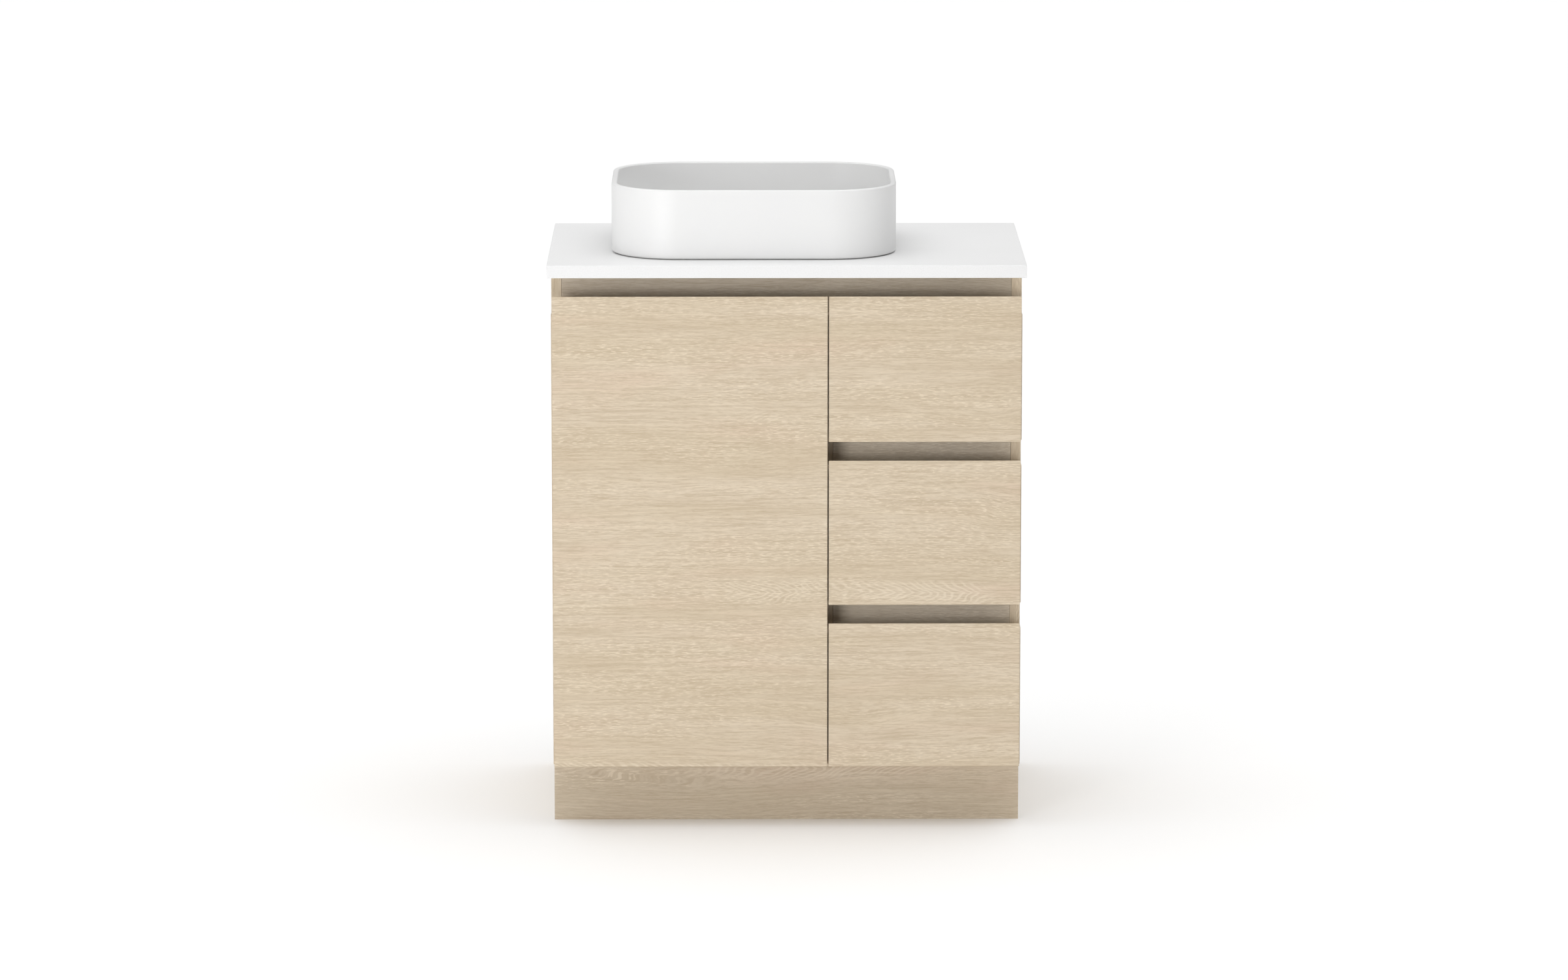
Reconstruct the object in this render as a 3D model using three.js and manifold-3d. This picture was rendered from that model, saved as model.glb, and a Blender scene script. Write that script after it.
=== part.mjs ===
// Vessel sink on a floor-standing vanity: a thin-walled basin on a benchtop, over a cabinet
// with one hinged door, three drawers behind finger-pull channels, and a bottle trap inside.
// Millimetres, +Z up. The origin is on the floor under the middle of the benchtop, the front
// faces -Y and the wall is at +Y. Touching pieces keep the clearance GAP.

import * as THREE from 'three';
import { mergeVertices } from 'three/addons/utils/BufferGeometryUtils.js';
import Module from 'manifold-3d';

const wasm = await Module();
wasm.setup();

// ---------- driving dimensions ----------

const GAP = 0.3;

const BENCH_WIDTH = 750;
const BENCH_DEPTH = 500;
const BENCH_THICKNESS = 20;
const BENCH_TOP = 900;
const BENCH_EDGE = 1.2;

const BOARD = 16;
const SIDE_OVERHANG = 6;
const FRONT_OVERHANG = 6;
const FRONT_REVEAL = 1.8;
const FRONT_TO_CARCASS = 2;
const PLINTH_HEIGHT = 100;
const PLINTH_SETBACK = 66;

const CHANNEL_HEIGHT = 30;
const CHANNEL_DEPTH = 30;
const CHANNEL_RAIL_HEIGHT = 40;
const TOP_RAIL_HEIGHT = 61;
const FRONT_BEVEL = 14;
const DIVIDER_X = 65;
const FRONT_GAP = 2.1;
const DRAWER_NAMES = ['lower', 'middle', 'upper'];

const BACK_THICKNESS = 6;
const BACK_RECESS = 16;
const REAR_RAIL_HEIGHT = 90;
const SERVICE_HOLE = 92;
const SHELF_HEIGHT = 400;
const SHELF_SETBACK = 56;

const BOX_BOARD = 12;
const BOX_BOTTOM = 8;
const BOX_LIFT = 30;
const BOX_HEADROOM = 9;
const BOX_BOTTOM_LIFT = 10;
const RUNNER_THICKNESS = 12.7;
const RUNNER_STEP = 50;
const RUNNER_REAR_ROOM = 20;
const RUNNER_INSET = 3;
const RUNNER_HEIGHT = 45;
const RUNNER_SLIDER_HEIGHT = 34;
const RUNNER_SHEET = 1.2;
const RUNNER_LIP = 9.2;
const RUNNER_LIFT = 50;

const CUP_RADIUS = 17.5;
const CUP_DEPTH = 11.5;
const CUP_EDGE = 5;
const CUP_WALL = 2;
const CUP_PLATE_WIDTH = 24;
const CUP_PLATE_HEIGHT = 62;
const HINGE_PIN_RADIUS = 1.5;
const HINGE_PIN_OFFSET = 6;
const HINGE_PLATE_THICKNESS = 2.2;
const HINGE_PLATE_SETBACK = 21;
const HINGE_PLATE_LENGTH = 32;
const HINGE_PLATE_HEIGHT = 52;
const HINGE_ARM_LENGTH = 58;
const HINGE_ARM_HEIGHT = 15;
const HINGE_ARM_RISE = 15;
const HINGE_SCREW_RADIUS = 3;
const HINGE_SCREW_SETBACK = 44;
const HINGE_END_DISTANCE = 100;

const BASIN_WIDTH = 450;
const BASIN_DEPTH = 370;
const BASIN_HEIGHT = 110;
const BASIN_X = -51;
const BASIN_Y = -5;
const BASIN_WALL = 9.5;
const BASIN_CORNER = 108;
const BASIN_FLOOR = 12;
const BASIN_FALL = 3;
const BASIN_COVE = 26;
const BASIN_RIM = 2.6;
const BASIN_FOOT = 3;
const SEAL_THICKNESS = 1;
const SEAL_WIDTH = 5;
const SEAL_INSET = 5;

const WASTE_RADIUS = 20.7;
const WASTE_WALL = 3.2;
const WASTE_FLANGE = 32;
const WASTE_FLANGE_THICKNESS = 2.4;
const WASTE_CLEARANCE = 1.5;
const WASTE_DROP = 45;
const WASTE_SEAT_WIDTH = 4;
const WASTE_SEAT_DEPTH = 5;
const GUIDE_LIFT = 36;
const GUIDE_BAR_WIDTH = 3.2;
const GUIDE_BAR_HEIGHT = 6;
const GUIDE_BOSS_WALL = 3.5;
const GUIDE_BOSS_REACH = 2;
const PLUG_RADIUS = 27;
const PLUG_STEM = 3;
const PLUG_STEM_REACH = 10;
const PLUG_HUB = 12;
const PLUG_RIM = 1.6;
const PLUG_DOME = 4.8;
const WASHER_THICKNESS = 3;
const LOCKNUT_HEIGHT = 9;
const TRAP_NECK = 16;
const TRAP_NECK_LENGTH = 44;
const TRAP_SHOULDER = 10;
const TRAP_WALL = 2.5;
const TRAP_RADIUS = 30;
const TRAP_OUTLET_DROP = 140;
const TRAP_HEAD_BOTTOM_DROP = 180;
const TRAP_NUT_WALL = 6;
const TRAP_NUT_OVERLAP = 22;
const TRAP_NUT_SKIRT = 20;
const TRAP_CUP_HEIGHT = 75;
const TRAP_CUP_COLLAR = 3;
const TRAP_CUP_COLLAR_HEIGHT = 12;
const OUTLET_BOSS_WALL = 5;
const OUTLET_BOSS_LENGTH = 26;
const OUTLET_SOCKET_START = 6;
const OUTLET_NUT_WALL = 10;
const OUTLET_NUT_LAP = 14;
const OUTLET_NUT_REACH = 9;
const PIPE_RADIUS = 16;

const ARC_STEPS = 12;
const SIDE_STEPS = 6;
const ROUND_STEPS = 32;

// ---------- places worked out from the driving dimensions ----------

const benchBottom = BENCH_TOP - BENCH_THICKNESS;
const benchFront = -BENCH_DEPTH / 2;
const wallY = BENCH_DEPTH / 2;
const carcassHalf = BENCH_WIDTH / 2 - SIDE_OVERHANG;
const innerHalf = carcassHalf - BOARD;
const faceY = benchFront + FRONT_OVERHANG;
const frontRearY = faceY + BOARD;
const carcassFrontY = frontRearY + FRONT_TO_CARCASS;
const railFrontY = carcassFrontY + CHANNEL_DEPTH;
const railRearY = railFrontY + BOARD;
const backFrontY = wallY - BACK_RECESS - BACK_THICKNESS;
const backRearY = wallY - BACK_RECESS;
const bottomZ = PLINTH_HEIGHT;
const baseTopZ = bottomZ + BOARD;
const frontsTopZ = benchBottom - CHANNEL_HEIGHT;
const dividerLeft = DIVIDER_X - BOARD / 2;
const dividerRight = DIVIDER_X + BOARD / 2;
const drawerCount = DRAWER_NAMES.length;
const drawerPitch = (frontsTopZ - bottomZ + CHANNEL_HEIGHT) / drawerCount;
const drawerFrontHeight = drawerPitch - CHANNEL_HEIGHT;
const topRailBottomZ = benchBottom - TOP_RAIL_HEIGHT;
const railDrop = Math.max(TOP_RAIL_HEIGHT, CHANNEL_RAIL_HEIGHT) - CHANNEL_HEIGHT;
const boxHeight = drawerFrontHeight - BOX_LIFT - railDrop - BOX_HEADROOM;
const runnerRoom = backFrontY - carcassFrontY - RUNNER_REAR_ROOM;
const runnerLength = Math.floor(runnerRoom / RUNNER_STEP) * RUNNER_STEP;
const wasteX = BASIN_X;
const wasteY = BASIN_Y;
const wasteBore = WASTE_RADIUS - WASTE_WALL;
const wasteHole = WASTE_RADIUS + WASTE_CLEARANCE;

// ---------- materials ----------

const finish = (color, roughness, metalness = 0) =>
  new THREE.MeshStandardMaterial({ color, roughness, metalness });

const frontBoard = () => finish(0xd9c6ad, 0.6);
const carcassBoard = () => finish(0xd2bfa5, 0.62);
const channelBoard = () => finish(0xbdab94, 0.65);
const drawerBoard = () => finish(0xe9e7e2, 0.55);
const benchSolid = () => finish(0xf2f2f1, 0.55);
const basinCeramic = () => finish(0xf5f5f4, 0.45);
const zincSteel = () => finish(0xb9bcbf, 0.38, 0.9);
const nickelSteel = () => finish(0xc4c1bb, 0.3, 0.9);
const chrome = () => finish(0xd8d9da, 0.12, 1);
const blackRubber = () => finish(0x232323, 0.85);
const whitePlastic = () => finish(0xeeeeec, 0.35);
const sealant = () => finish(0xdcdcda, 0.5);

// ---------- geometry helpers ----------

// The closed mesh of a geometry, with shared vertices merged and its faces pointing out.
function closed(geometry) {
  const source = geometry.index ? geometry.toNonIndexed() : geometry.clone();
  source.deleteAttribute('normal');
  source.deleteAttribute('uv');
  const merged = mergeVertices(source, 1e-4);
  const position = merged.attributes.position;
  const kept = [];
  let volume = 0;
  const corners = [new THREE.Vector3(), new THREE.Vector3(), new THREE.Vector3()];
  for (let i = 0; i < merged.index.count; i += 3) {
    const triangle = [0, 1, 2].map((k) => merged.index.getX(i + k));
    if (new Set(triangle).size < 3) continue;
    triangle.forEach((vertex, k) => corners[k].fromBufferAttribute(position, vertex));
    volume += corners[0].dot(corners[1].clone().cross(corners[2]));
    kept.push(triangle);
  }
  if (volume < 0) kept.forEach((triangle) => triangle.reverse());
  const result = new THREE.BufferGeometry();
  result.setAttribute('position', position);
  result.setIndex(kept.flat());
  return result;
}

function manifoldOf(geometry) {
  const mesh = closed(geometry);
  return new wasm.Manifold(new wasm.Mesh({
    numProp: 3,
    vertProperties: new Float32Array(mesh.attributes.position.array),
    triVerts: new Uint32Array(mesh.index.array),
  }));
}

function geometryOf(manifold) {
  const mesh = manifold.getMesh();
  const geometry = new THREE.BufferGeometry();
  geometry.setAttribute('position', new THREE.BufferAttribute(mesh.vertProperties, 3));
  geometry.setIndex(new THREE.BufferAttribute(mesh.triVerts, 1));
  return geometry;
}

const joined = (first, ...others) =>
  geometryOf(others.reduce((whole, next) => whole.add(manifoldOf(next)), manifoldOf(first)));
const cut = (first, ...others) =>
  geometryOf(others.reduce((whole, next) => whole.subtract(manifoldOf(next)), manifoldOf(first)));

// A box between two corners, given as its range along each axis.
function block([x0, x1], [y0, y1], [z0, z1]) {
  const geometry = new THREE.BoxGeometry(x1 - x0, y1 - y0, z1 - z0);
  return geometry.translate((x0 + x1) / 2, (y0 + y1) / 2, (z0 + z1) / 2);
}

const outline = (points) => new THREE.Shape(points.map(([a, b]) => new THREE.Vector2(a, b)));
const flat = (depth) => ({ depth, bevelEnabled: false, curveSegments: ROUND_STEPS / 2 });

// A (y, z) outline swept along X, and an (x, z) outline swept along Y.
function alongX(shape, x0, x1) {
  const geometry = new THREE.ExtrudeGeometry(shape, flat(x1 - x0));
  const turn = new THREE.Matrix4().makeBasis(
    new THREE.Vector3(0, 1, 0), new THREE.Vector3(0, 0, 1), new THREE.Vector3(1, 0, 0));
  return geometry.applyMatrix4(turn).translate(x0, 0, 0);
}

function alongY(shape, y0, y1) {
  const geometry = new THREE.ExtrudeGeometry(shape, flat(y1 - y0));
  return geometry.rotateX(Math.PI / 2).translate(0, y1, 0);
}

// A round bar along Y or Z, pieces turned round Z or Y from a [radius, place along] profile, and
// a plain ring along Z.
function barY(radius, x, z, y0, y1) {
  const geometry = new THREE.CylinderGeometry(radius, radius, y1 - y0, ROUND_STEPS);
  return geometry.translate(x, (y0 + y1) / 2, z);
}

function barZ(radius, x, y, z0, z1, steps = ROUND_STEPS) {
  const geometry = new THREE.CylinderGeometry(radius, radius, z1 - z0, steps);
  return geometry.rotateX(Math.PI / 2).translate(x, y, (z0 + z1) / 2);
}

function lathe(profile) {
  const points = profile.map(([radius, height]) => new THREE.Vector2(radius, height));
  return new THREE.LatheGeometry(points, ROUND_STEPS);
}

const turned = (profile, x, y) => lathe(profile).rotateX(Math.PI / 2).translate(x, y, 0);
const turnedY = (profile, x, z) => lathe(profile).translate(x, 0, z);

const ring = (outer, inner, x, y, z0, z1) =>
  turned([[inner, z0], [outer, z0], [outer, z1], [inner, z1], [inner, z0]], x, y);

// ---------- the group ----------

const vanity = new THREE.Group();

function place(name, geometry, material) {
  const mesh = new THREE.Mesh(closed(geometry), material);
  mesh.geometry.computeVertexNormals();
  mesh.name = name;
  vanity.add(mesh);
}

const board = (name, material, x, y, z) => place(name, block(x, y, z), material);

// ---------- benchtop ----------

function benchtop() {
  const halfWidth = BENCH_WIDTH / 2;
  const shape = outline([[-halfWidth, benchFront], [halfWidth, benchFront],
    [halfWidth, wallY], [-halfWidth, wallY]]);
  const slab = new THREE.ExtrudeGeometry(shape, {
    depth: BENCH_THICKNESS - 2 * BENCH_EDGE,
    bevelThickness: BENCH_EDGE,
    bevelSize: BENCH_EDGE,
    bevelOffset: -BENCH_EDGE,
    bevelSegments: 2,
  });
  slab.translate(0, 0, benchBottom + BENCH_EDGE);
  const hole = barZ(wasteHole, wasteX, wasteY, benchBottom - 1, BENCH_TOP + 1);
  place('benchtop', cut(slab, hole), benchSolid());
}

// ---------- basin ----------

// One level of the basin: a rounded rectangle around the basin's centre, drawn in by inset.
// Each side has points of its own, so that the round levels inside it stay round.
function roundedLevel(inset, z) {
  const radius = BASIN_CORNER - inset;
  const halfWidth = BASIN_WIDTH / 2 - BASIN_CORNER;
  const halfDepth = BASIN_DEPTH / 2 - BASIN_CORNER;
  const signs = [[1, 1], [-1, 1], [-1, -1], [1, -1]];
  const cornerPoint = (corner, step) => {
    const [alongWidth, alongDepth] = signs[corner % 4];
    const angle = (corner + step / ARC_STEPS) * Math.PI / 2;
    return new THREE.Vector3(
      BASIN_X + alongWidth * halfWidth + radius * Math.cos(angle),
      BASIN_Y + alongDepth * halfDepth + radius * Math.sin(angle), z);
  };
  const points = [];
  for (let corner = 0; corner < 4; corner += 1) {
    for (let step = 0; step <= ARC_STEPS; step += 1) points.push(cornerPoint(corner, step));
    const [start, end] = [cornerPoint(corner, ARC_STEPS), cornerPoint(corner + 1, 0)];
    for (let step = 1; step < SIDE_STEPS; step += 1) {
      points.push(start.clone().lerp(end, step / SIDE_STEPS));
    }
  }
  return points;
}

// A round level around the waste, with its points at the same bearings as the rounded levels.
function roundLevel(radius, z) {
  return roundedLevel(0, z).map((point) => {
    const angle = Math.atan2(point.y - BASIN_Y, point.x - BASIN_X);
    return new THREE.Vector3(
      wasteX + radius * Math.cos(angle), wasteY + radius * Math.sin(angle), z);
  });
}

// A closed skin through a loop of levels, with the last level joined back to the first.
function skin(levels) {
  const size = levels[0].length;
  const positions = levels.flat().flatMap((point) => point.toArray());
  const triangles = [];
  levels.forEach((_, level) => {
    const next = (level + 1) % levels.length;
    for (let i = 0; i < size; i += 1) {
      const j = (i + 1) % size;
      const [a, b] = [level * size + i, level * size + j];
      const [c, d] = [next * size + i, next * size + j];
      triangles.push(a, b, d, a, d, c);
    }
  });
  const geometry = new THREE.BufferGeometry();
  geometry.setAttribute('position', new THREE.Float32BufferAttribute(positions, 3));
  geometry.setIndex(triangles);
  return geometry;
}

// Levels round a quarter circle, from one angle to another, around (inset, z) centre.
function quarter(centreInset, centreZ, radius, from, to, steps) {
  return Array.from({ length: steps + 1 }, (_, step) => {
    const angle = from + (to - from) * step / steps;
    return roundedLevel(centreInset + radius * Math.cos(angle), centreZ + radius * Math.sin(angle));
  });
}

const basinBottom = BENCH_TOP + SEAL_THICKNESS + 2 * GAP;
const basinTop = BENCH_TOP + BASIN_HEIGHT;
const basinSeat = basinBottom + BASIN_FLOOR;

function basin() {
  const coveCentre = BASIN_WALL + BASIN_COVE;
  const coveBottom = basinSeat + BASIN_FALL;
  const levels = [
    roundLevel(wasteHole, basinBottom),
    ...quarter(BASIN_FOOT, basinBottom + BASIN_FOOT, BASIN_FOOT, -Math.PI / 2, -Math.PI, 3),
    ...quarter(BASIN_RIM, basinTop - BASIN_RIM, BASIN_RIM, Math.PI, Math.PI / 2, 4),
    ...quarter(BASIN_WALL - BASIN_RIM, basinTop - BASIN_RIM, BASIN_RIM, Math.PI / 2, 0, 4),
    ...quarter(coveCentre, coveBottom + BASIN_COVE, BASIN_COVE, Math.PI, Math.PI * 1.5, 7),
    roundLevel(WASTE_FLANGE + WASTE_CLEARANCE, basinSeat),
    roundLevel(wasteHole, basinSeat),
  ];
  place('basin', skin(levels), basinCeramic());
}

// The bead of sealant that the basin is bedded on, set back under its foot.
function basinSeal() {
  const [low, high] = [BENCH_TOP + GAP, BENCH_TOP + GAP + SEAL_THICKNESS];
  place('basin_seal', skin([
    roundedLevel(SEAL_INSET, low), roundedLevel(SEAL_INSET, high),
    roundedLevel(SEAL_INSET + SEAL_WIDTH, high), roundedLevel(SEAL_INSET + SEAL_WIDTH, low),
  ]), sealant());
}

// ---------- waste ----------

const flangeBottom = basinSeat + GAP;
const flangeTop = flangeBottom + WASTE_FLANGE_THICKNESS;
const wasteBottom = benchBottom - WASTE_DROP;
const guideZ = wasteBottom + GUIDE_LIFT;

function waste() {
  const body = turned([
    [wasteBore, wasteBottom], [WASTE_RADIUS, wasteBottom], [WASTE_RADIUS, flangeBottom],
    [WASTE_FLANGE, flangeBottom], [WASTE_FLANGE, flangeTop - 1], [WASTE_FLANGE - 1, flangeTop],
    [wasteBore + WASTE_SEAT_WIDTH, flangeTop], [wasteBore, flangeTop - WASTE_SEAT_DEPTH],
    [wasteBore, wasteBottom],
  ], wasteX, wasteY);
  const reach = (wasteBore + WASTE_RADIUS) / 2;
  const half = GUIDE_BAR_WIDTH / 2;
  const barZRange = [guideZ, guideZ + GUIDE_BAR_HEIGHT];
  const barAcross = block([wasteX - reach, wasteX + reach], [wasteY - half, wasteY + half], barZRange);
  const barDeep = block([wasteX - half, wasteX + half], [wasteY - reach, wasteY + reach], barZRange);
  const bossBottom = guideZ - GUIDE_BOSS_REACH;
  const bossTop = guideZ + GUIDE_BAR_HEIGHT + 2 * GUIDE_BOSS_REACH;
  const boss = barZ(PLUG_STEM + GUIDE_BOSS_WALL, wasteX, wasteY, bossBottom, bossTop);
  const bore = barZ(PLUG_STEM + GAP, wasteX, wasteY, bossBottom - 1, bossTop + 1);
  place('waste_body', cut(joined(body, barAcross, barDeep, boss), bore), chrome());

  const capBottom = flangeTop + GAP;
  const stemEnd = guideZ - PLUG_STEM_REACH;
  place('waste_plug', turned([
    [0, stemEnd], [PLUG_STEM, stemEnd], [PLUG_STEM, capBottom - 4], [PLUG_HUB, capBottom],
    [PLUG_RADIUS, capBottom], [PLUG_RADIUS, capBottom + PLUG_RIM],
    [PLUG_RADIUS - 3, capBottom + 2 * PLUG_RIM], [PLUG_RADIUS / 2, capBottom + PLUG_DOME - 0.4],
    [0, capBottom + PLUG_DOME],
  ], wasteX, wasteY), chrome());

  const washerTop = benchBottom - GAP;
  const washerBottom = washerTop - WASHER_THICKNESS;
  place('waste_washer', ring(WASTE_FLANGE, WASTE_RADIUS + GAP, wasteX, wasteY,
    washerBottom, washerTop), blackRubber());
  const nutTop = washerBottom - GAP;
  const nutBottom = nutTop - LOCKNUT_HEIGHT;
  const nut = barZ(WASTE_FLANGE, wasteX, wasteY, nutBottom, nutTop, 6);
  const thread = barZ(WASTE_RADIUS + GAP, wasteX, wasteY, nutBottom - 1, nutTop + 1);
  place('waste_locknut', cut(nut, thread), chrome());
}

// ---------- bottle trap ----------

const trapOutletZ = benchBottom - TRAP_OUTLET_DROP;
const headBottom = benchBottom - TRAP_HEAD_BOTTOM_DROP;

const bossEnd = wasteY + TRAP_RADIUS + OUTLET_BOSS_LENGTH;
const pipeStart = wasteY + TRAP_RADIUS + OUTLET_SOCKET_START;
const bossRadius = PIPE_RADIUS + OUTLET_BOSS_WALL;

function trap() {
  const neckTop = wasteBottom - GAP;
  const neckBottom = neckTop - TRAP_NECK_LENGTH;
  const shoulder = neckBottom - TRAP_SHOULDER;
  const bore = TRAP_NECK - TRAP_WALL;
  const inside = TRAP_RADIUS - TRAP_WALL;
  const head = turned([
    [inside, headBottom], [TRAP_RADIUS, headBottom], [TRAP_RADIUS, shoulder],
    [TRAP_NECK, neckBottom], [TRAP_NECK, neckTop], [bore, neckTop], [bore, neckBottom - 2],
    [inside, shoulder - 2], [inside, headBottom],
  ], wasteX, wasteY);
  const boss = barY(bossRadius, wasteX, trapOutletZ, wasteY + inside + 1, bossEnd);
  const socket = barY(PIPE_RADIUS + GAP, wasteX, trapOutletZ, pipeStart, bossEnd + 1);
  const passage = barY(PIPE_RADIUS - TRAP_WALL, wasteX, trapOutletZ, wasteY, pipeStart + 1);
  place('trap_head', cut(joined(head, boss), socket, passage), whitePlastic());

  const nutTop = wasteBottom + TRAP_NUT_OVERLAP;
  const step = neckTop - 2 * GAP;
  const skirt = step - TRAP_NUT_SKIRT;
  const nutRadius = WASTE_RADIUS + TRAP_NUT_WALL;
  place('trap_nut', turned([
    [TRAP_NECK + GAP, skirt], [nutRadius - 3, skirt], [nutRadius, skirt + 6],
    [nutRadius, nutTop], [WASTE_RADIUS + GAP, nutTop], [WASTE_RADIUS + GAP, step],
    [TRAP_NECK + GAP, step], [TRAP_NECK + GAP, skirt],
  ], wasteX, wasteY), whitePlastic());

  const cupTop = headBottom - GAP;
  const cupBottom = cupTop - TRAP_CUP_HEIGHT;
  const collar = TRAP_RADIUS + TRAP_CUP_COLLAR;
  const collarBottom = cupTop - TRAP_CUP_COLLAR_HEIGHT;
  place('trap_cup', turned([
    [0, cupBottom], [TRAP_RADIUS - 12, cupBottom], [TRAP_RADIUS - 3, cupBottom + 6],
    [TRAP_RADIUS, cupBottom + 16], [TRAP_RADIUS, collarBottom - 2], [collar, collarBottom],
    [collar, cupTop], [inside, cupTop], [inside, cupBottom + 16],
    [TRAP_RADIUS - 13, cupBottom + TRAP_WALL + 1], [0, cupBottom + TRAP_WALL],
  ], wasteX, wasteY), whitePlastic());
}

// The pipe to the wall, held in the side of the trap by a nut that screws over its socket.
function trapOutlet() {
  const outside = PIPE_RADIUS + OUTLET_NUT_WALL;
  const overBoss = bossRadius + GAP;
  const overPipe = PIPE_RADIUS + GAP;
  const [nutStart, nutEnd] = [bossEnd - OUTLET_NUT_LAP, bossEnd + OUTLET_NUT_REACH];
  const shoulder = bossEnd + 1;
  place('trap_outlet_nut', turnedY([
    [overBoss, nutStart], [outside, nutStart], [outside, nutEnd - 5], [outside - 4, nutEnd],
    [overPipe, nutEnd], [overPipe, shoulder], [overBoss, shoulder], [overBoss, nutStart],
  ], wasteX, trapOutletZ), whitePlastic());

  const pipe = barY(PIPE_RADIUS, wasteX, trapOutletZ, pipeStart + GAP, wallY);
  const pipeBore = barY(PIPE_RADIUS - TRAP_WALL, wasteX, trapOutletZ, pipeStart - 1, wallY + 1);
  place('trap_outlet_pipe', cut(pipe, pipeBore), whitePlastic());
}

// ---------- carcass ----------

const channelTops = DRAWER_NAMES.slice(0, -1).map((_, index) => bottomZ + (index + 1) * drawerPitch);

// The front edge of a standing board, going up. It is cut back to the rails at each finger
// channel between the drawers, so that the channels run through.
const notchedEdge = (tops) => tops.flatMap((top) => [
  [carcassFrontY, top - GAP - CHANNEL_RAIL_HEIGHT], [railFrontY, top - GAP - CHANNEL_RAIL_HEIGHT],
  [railFrontY, top], [carcassFrontY, top],
]);

// A side panel seen from its side, with its top front corner cut back for the top channel.
const sideOutline = (tops) => outline([
  [carcassFrontY, bottomZ], ...notchedEdge(tops), [carcassFrontY, topRailBottomZ],
  [railFrontY, topRailBottomZ], [railFrontY, benchBottom - GAP], [wallY, benchBottom - GAP],
  [wallY, bottomZ],
]);

function carcass() {
  const bay = [-innerHalf + GAP, innerHalf - GAP];
  place('side_panel_left', alongX(sideOutline([]), -carcassHalf, -innerHalf), carcassBoard());
  place('side_panel_right', alongX(sideOutline(channelTops), innerHalf, carcassHalf),
    carcassBoard());
  board('base_panel', carcassBoard(), bay, [carcassFrontY, backFrontY - GAP],
    [bottomZ, baseTopZ]);

  const notchY = railRearY + GAP;
  const notchZ = topRailBottomZ - GAP;
  place('divider', alongX(outline([
    [carcassFrontY, baseTopZ + GAP], ...notchedEdge(channelTops), [carcassFrontY, notchZ],
    [notchY, notchZ], [notchY, benchBottom - GAP], [backFrontY - GAP, benchBottom - GAP],
    [backFrontY - GAP, baseTopZ + GAP],
  ]), dividerLeft, dividerRight), carcassBoard());

  const railY = [railFrontY, railRearY];
  board('front_top_rail', channelBoard(), bay, railY, [topRailBottomZ, benchBottom - GAP]);
  channelTops.forEach((channelTop, index) => {
    const railTop = channelTop - GAP;
    board(`channel_rail_above_${DRAWER_NAMES[index]}_drawer`, channelBoard(),
      [dividerRight + GAP, innerHalf - GAP], railY, [railTop - CHANNEL_RAIL_HEIGHT, railTop]);
  });

  const backZ = [bottomZ, benchBottom - GAP];
  const holeHalf = SERVICE_HOLE / 2;
  place('back_panel', cut(
    block(bay, [backFrontY, backRearY], backZ),
    block([wasteX - holeHalf, wasteX + holeHalf], [backFrontY - 1, backRearY + 1],
      [trapOutletZ - holeHalf, trapOutletZ + holeHalf]),
  ), drawerBoard());
  const rearRailY = [backRearY + GAP, wallY];
  board('rear_top_rail', carcassBoard(), bay, rearRailY,
    [benchBottom - GAP - REAR_RAIL_HEIGHT, benchBottom - GAP]);
  board('rear_bottom_rail', carcassBoard(), bay, rearRailY,
    [bottomZ, bottomZ + REAR_RAIL_HEIGHT]);

  board('shelf', carcassBoard(), [-innerHalf + GAP, dividerLeft - GAP],
    [carcassFrontY + SHELF_SETBACK, backFrontY - GAP], [SHELF_HEIGHT, SHELF_HEIGHT + BOARD]);
}

function plinth() {
  const frontY = faceY + PLINTH_SETBACK;
  const rearY = backRearY - BOARD;
  const height = [0, PLINTH_HEIGHT - GAP];
  const sideY = [frontY + BOARD + GAP, wallY];
  board('plinth_front', carcassBoard(), [-carcassHalf, carcassHalf],
    [frontY, frontY + BOARD], height);
  board('plinth_left', carcassBoard(), [-carcassHalf, -innerHalf], sideY, height);
  board('plinth_right', carcassBoard(), [innerHalf, carcassHalf], sideY, height);
  board('plinth_rear', carcassBoard(), [-innerHalf + GAP, innerHalf - GAP],
    [rearY, rearY + BOARD], height);
}

// ---------- door and its concealed hinges ----------

// A front seen from its end: the rear of the top edge is cut back for the fingers.
const frontOutline = (z0, z1) => outline([
  [faceY, z0], [frontRearY, z0], [frontRearY, z1 - FRONT_BEVEL],
  [frontRearY - FRONT_BEVEL, z1], [faceY, z1],
]);

const doorLeft = -carcassHalf + FRONT_REVEAL;
const doorRight = DIVIDER_X - FRONT_GAP / 2;
const hinges = {
  lower: bottomZ + HINGE_END_DISTANCE,
  upper: frontsTopZ - HINGE_END_DISTANCE,
};
const cupX = doorLeft + CUP_EDGE + CUP_RADIUS;

function door() {
  const leaf = alongX(frontOutline(bottomZ, frontsTopZ), doorLeft, doorRight);
  const pockets = Object.values(hinges).map((z) =>
    barY(CUP_RADIUS + GAP, cupX, z, frontRearY - CUP_DEPTH - 2 * GAP, frontRearY + 1));
  place('door', cut(leaf, ...pockets), frontBoard());
}

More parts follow.
